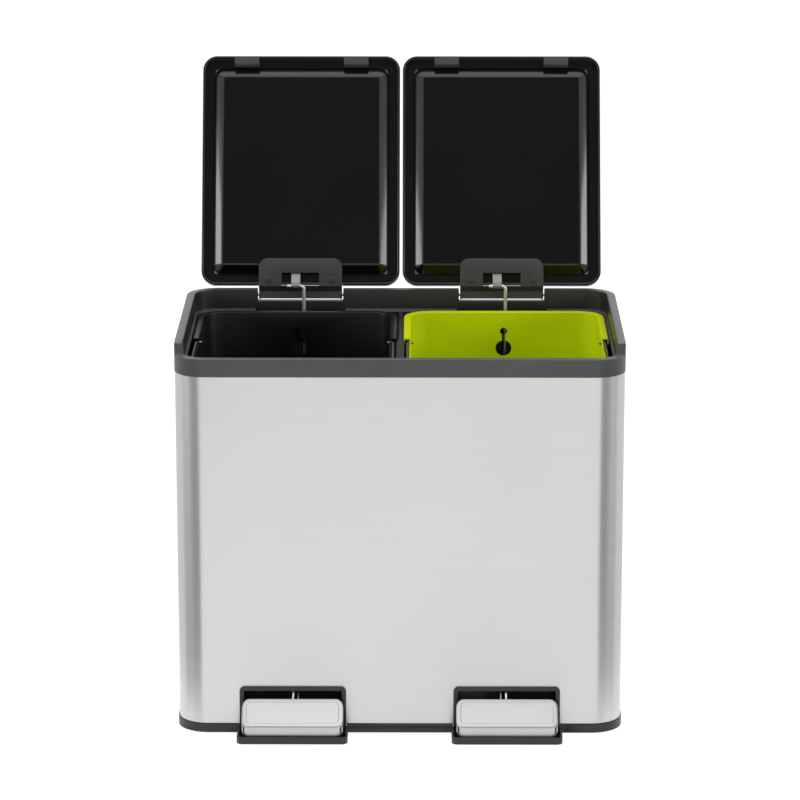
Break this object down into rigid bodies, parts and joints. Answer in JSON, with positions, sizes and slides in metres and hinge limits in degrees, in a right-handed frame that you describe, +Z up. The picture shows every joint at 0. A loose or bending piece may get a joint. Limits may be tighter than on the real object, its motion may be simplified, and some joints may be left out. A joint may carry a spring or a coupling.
{
  "type": "double recycling bin",
  "caption": "Step bin with two lift-out buckets under two hinged lids, each raised by its own pedal through a lever and rod.",
  "frame": {"origin": "on the floor under the middle of the cabinet, on the underside of the middle foot", "axes": "+X to the right as seen from the front, +Y to the back, where the hinges are, +Z up"},
  "size_m": [0.591, 0.5317, 0.8293],
  "materials": {
    "cabinet_steel": "stainless steel, brushed sideways in fine short lines",
    "lid_steel": "stainless steel, brushed sideways",
    "pedal_steel": "stainless steel, satin, with an embossed border",
    "rim_plastic": "dark grey moulded plastic, satin",
    "base_plastic": "black moulded plastic, fine grain",
    "lid_plastic": "black moulded plastic, glossy edges",
    "liner_plastic": "black moulded plastic, polished",
    "hinge_paint": "dark grey powder coat, matt",
    "zinc_steel": "zinc-plated steel",
    "bucket_black": "black moulded plastic, satin",
    "bucket_lime": "lime green moulded plastic, satin",
    "rubber": "dark grey rubber"
  },
  "bodies": {
    "cabinet": {"body_shell": "cabinet_steel", "top_rim": "rim_plastic", "base_pan": "base_plastic", "centre_bar": "base_plastic", "foot_front_left": "rubber", "foot_front_right": "rubber", "foot_rear_left": "rubber", "foot_rear_right": "rubber", "foot_centre": "rubber", "pedal_housing_left": "base_plastic", "lever_axle_left": "zinc_steel", "hinge_pin_left_left": "zinc_steel", "hinge_pin_left_right": "zinc_steel", "pedal_housing_right": "base_plastic", "lever_axle_right": "zinc_steel", "hinge_pin_right_left": "zinc_steel", "hinge_pin_right_right": "zinc_steel"},
    "lid_left": {"lid_frame_left": "lid_plastic", "lid_panel_left": "lid_steel", "lid_liner_left": "liner_plastic", "hinge_plate_left": "hinge_paint", "lift_eye_left": "zinc_steel", "hinge_screw_left_left": "hinge_paint", "hinge_screw_left_right": "hinge_paint", "lid_bumper_left_left": "rubber", "lid_bumper_left_right": "rubber"},
    "rod_left": {"lift_rod_left": "zinc_steel"},
    "pedal_left": {"pedal_lever_left": "zinc_steel", "pedal_core_left": "base_plastic", "pedal_cover_left": "pedal_steel"},
    "bucket_body_left": {"bucket_left": "bucket_black"},
    "bail_left": {"bail_handle_left": "zinc_steel"},
    "lid_right": {"lid_frame_right": "lid_plastic", "lid_panel_right": "lid_steel", "lid_liner_right": "liner_plastic", "hinge_plate_right": "hinge_paint", "lift_eye_right": "zinc_steel", "hinge_screw_right_left": "hinge_paint", "hinge_screw_right_right": "hinge_paint", "lid_bumper_right_left": "rubber", "lid_bumper_right_right": "rubber"},
    "rod_right": {"lift_rod_right": "zinc_steel"},
    "pedal_right": {"pedal_lever_right": "zinc_steel", "pedal_core_right": "base_plastic", "pedal_cover_right": "pedal_steel"},
    "bucket_body_right": {"bucket_right": "bucket_lime"},
    "bail_right": {"bail_handle_right": "zinc_steel"}
  },
  "joints": [
    {"name": "lid_hinge_left", "type": "hinge", "parent": "cabinet", "child": "lid_left", "pos_m": [-0.13905, 0.173, 0.5152], "axis": [-1, 0, 0], "range_deg": [-112, 0]},
    {"name": "rod_pivot_left", "type": "hinge", "parent": "lid_left", "child": "rod_left", "pos_m": [-0.13405, 0.1595, 0.5302], "axis": [1, 0, 0], "range_deg": [-112, 0]},
    {"name": "pedal_pivot_left", "type": "hinge", "parent": "cabinet", "child": "pedal_left", "pos_m": [-0.13965, -0.089, 0.026], "axis": [1, 0, 0], "range_deg": [-7.6, 0]},
    {"name": "bucket_lift_left", "type": "slide", "parent": "cabinet", "child": "bucket_body_left", "axis": [0, 0, 1], "range_m": [0, 0.48]},
    {"name": "bail_swing_left", "type": "hinge", "parent": "bucket_body_left", "child": "bail_left", "pos_m": [-0.1413, -0.021, 0.4935], "axis": [-1, 0, 0], "range_deg": [0, 90]},
    {"name": "lid_hinge_right", "type": "hinge", "parent": "cabinet", "child": "lid_right", "pos_m": [0.13905, 0.173, 0.5152], "axis": [-1, 0, 0], "range_deg": [-112, 0]},
    {"name": "rod_pivot_right", "type": "hinge", "parent": "lid_right", "child": "rod_right", "pos_m": [0.14405, 0.1595, 0.5302], "axis": [1, 0, 0], "range_deg": [-112, 0]},
    {"name": "pedal_pivot_right", "type": "hinge", "parent": "cabinet", "child": "pedal_right", "pos_m": [0.13845, -0.089, 0.026], "axis": [1, 0, 0], "range_deg": [-7.6, 0]},
    {"name": "bucket_lift_right", "type": "slide", "parent": "cabinet", "child": "bucket_body_right", "axis": [0, 0, 1], "range_m": [0, 0.48]},
    {"name": "bail_swing_right", "type": "hinge", "parent": "bucket_body_right", "child": "bail_right", "pos_m": [0.1413, -0.021, 0.4935], "axis": [-1, 0, 0], "range_deg": [0, 90]}
  ],
  "couplings": [
    {"joint": "rod_pivot_left", "follows": "lid_hinge_left", "ratio": 1},
    {"joint": "pedal_pivot_left", "follows": "lid_hinge_left", "ratio": 0.0678},
    {"joint": "rod_pivot_right", "follows": "lid_hinge_right", "ratio": 1},
    {"joint": "pedal_pivot_right", "follows": "lid_hinge_right", "ratio": 0.0678}
  ]
}
